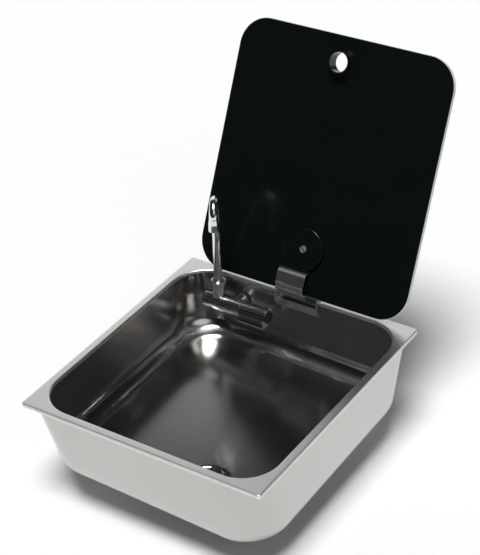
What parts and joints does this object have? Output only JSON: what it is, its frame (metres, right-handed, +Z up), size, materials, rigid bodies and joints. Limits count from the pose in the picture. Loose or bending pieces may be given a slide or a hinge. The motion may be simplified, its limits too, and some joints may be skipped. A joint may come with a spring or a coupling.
{
  "type": "rv sink with glass lid",
  "caption": "Drop-in steel sink for a camper van, with a hinged black glass lid and a tap whose spout folds into the bowl.",
  "frame": {"origin": "centre of the rim, in the plane of the worktop that the rim rests on", "axes": "+Z up, -Y towards the person at the sink, +X to their right; the lid hinge is at +Y"},
  "size_m": [0.42, 0.6154, 0.5474],
  "materials": {
    "steel": "satin stainless steel",
    "chrome": "bright chrome plate",
    "dark_steel": "polished steel",
    "black_glass": "opaque black safety glass, polished",
    "rubber": "matt",
    "black_plastic": "satin",
    "brass": "machined"
  },
  "bodies": {
    "bowl": {"sink_bowl": "steel", "rim_seal": "rubber", "lid_buffer_left": "rubber", "lid_buffer_right": "rubber", "waste_flange": "steel", "waste_upper_seal": "rubber", "waste_lower_seal": "rubber", "waste_body": "black_plastic", "waste_bolt": "steel", "hinge_bracket": "dark_steel", "hinge_pin": "steel", "hinge_bush": "black_plastic", "bracket_screw_left": "steel", "bracket_screw_right": "steel", "bracket_nut_left": "steel", "bracket_nut_right": "steel", "tap_body": "chrome", "spigot_ring": "rubber", "port_seal": "rubber", "port_washer": "steel", "port_nut": "brass"},
    "lid": {"lid_glass": "black_glass", "finger_hole_grommet": "black_plastic", "finger_hole_ring": "black_plastic", "hinge_arm": "dark_steel", "hinge_pad": "rubber", "hinge_disc": "black_plastic", "hinge_screw": "chrome", "hinge_cap_nut": "chrome"},
    "spout": {"spout_elbow": "chrome", "elbow_cap": "chrome", "spout_collar": "chrome", "collar_screw": "chrome", "spout_tube": "chrome", "spout_nozzle": "chrome", "aerator": "black_plastic"},
    "knob": {"tap_knob": "chrome", "valve_spindle": "brass", "knob_cap": "black_plastic"}
  },
  "joints": [
    {"name": "lid_hinge", "type": "hinge", "parent": "bowl", "child": "lid", "pos_m": [0, 0.2075, 0.006], "axis": [1, 0, 0], "range_deg": [0, 117]},
    {"name": "spout_fold", "type": "hinge", "parent": "bowl", "child": "spout", "pos_m": [-0.1365, 0.18513, -0.03677], "axis": [1, 0, 0], "range_deg": [0, 94]},
    {"name": "knob_turn", "type": "hinge", "parent": "bowl", "child": "knob", "pos_m": [-0.068, 0.18513, -0.03677], "axis": [1, 0, 0], "range_deg": [-90, 0]}
  ],
  "couplings": [
    {"joint": "spout_fold", "follows": "lid_hinge", "ratio": 0.80342}
  ]
}
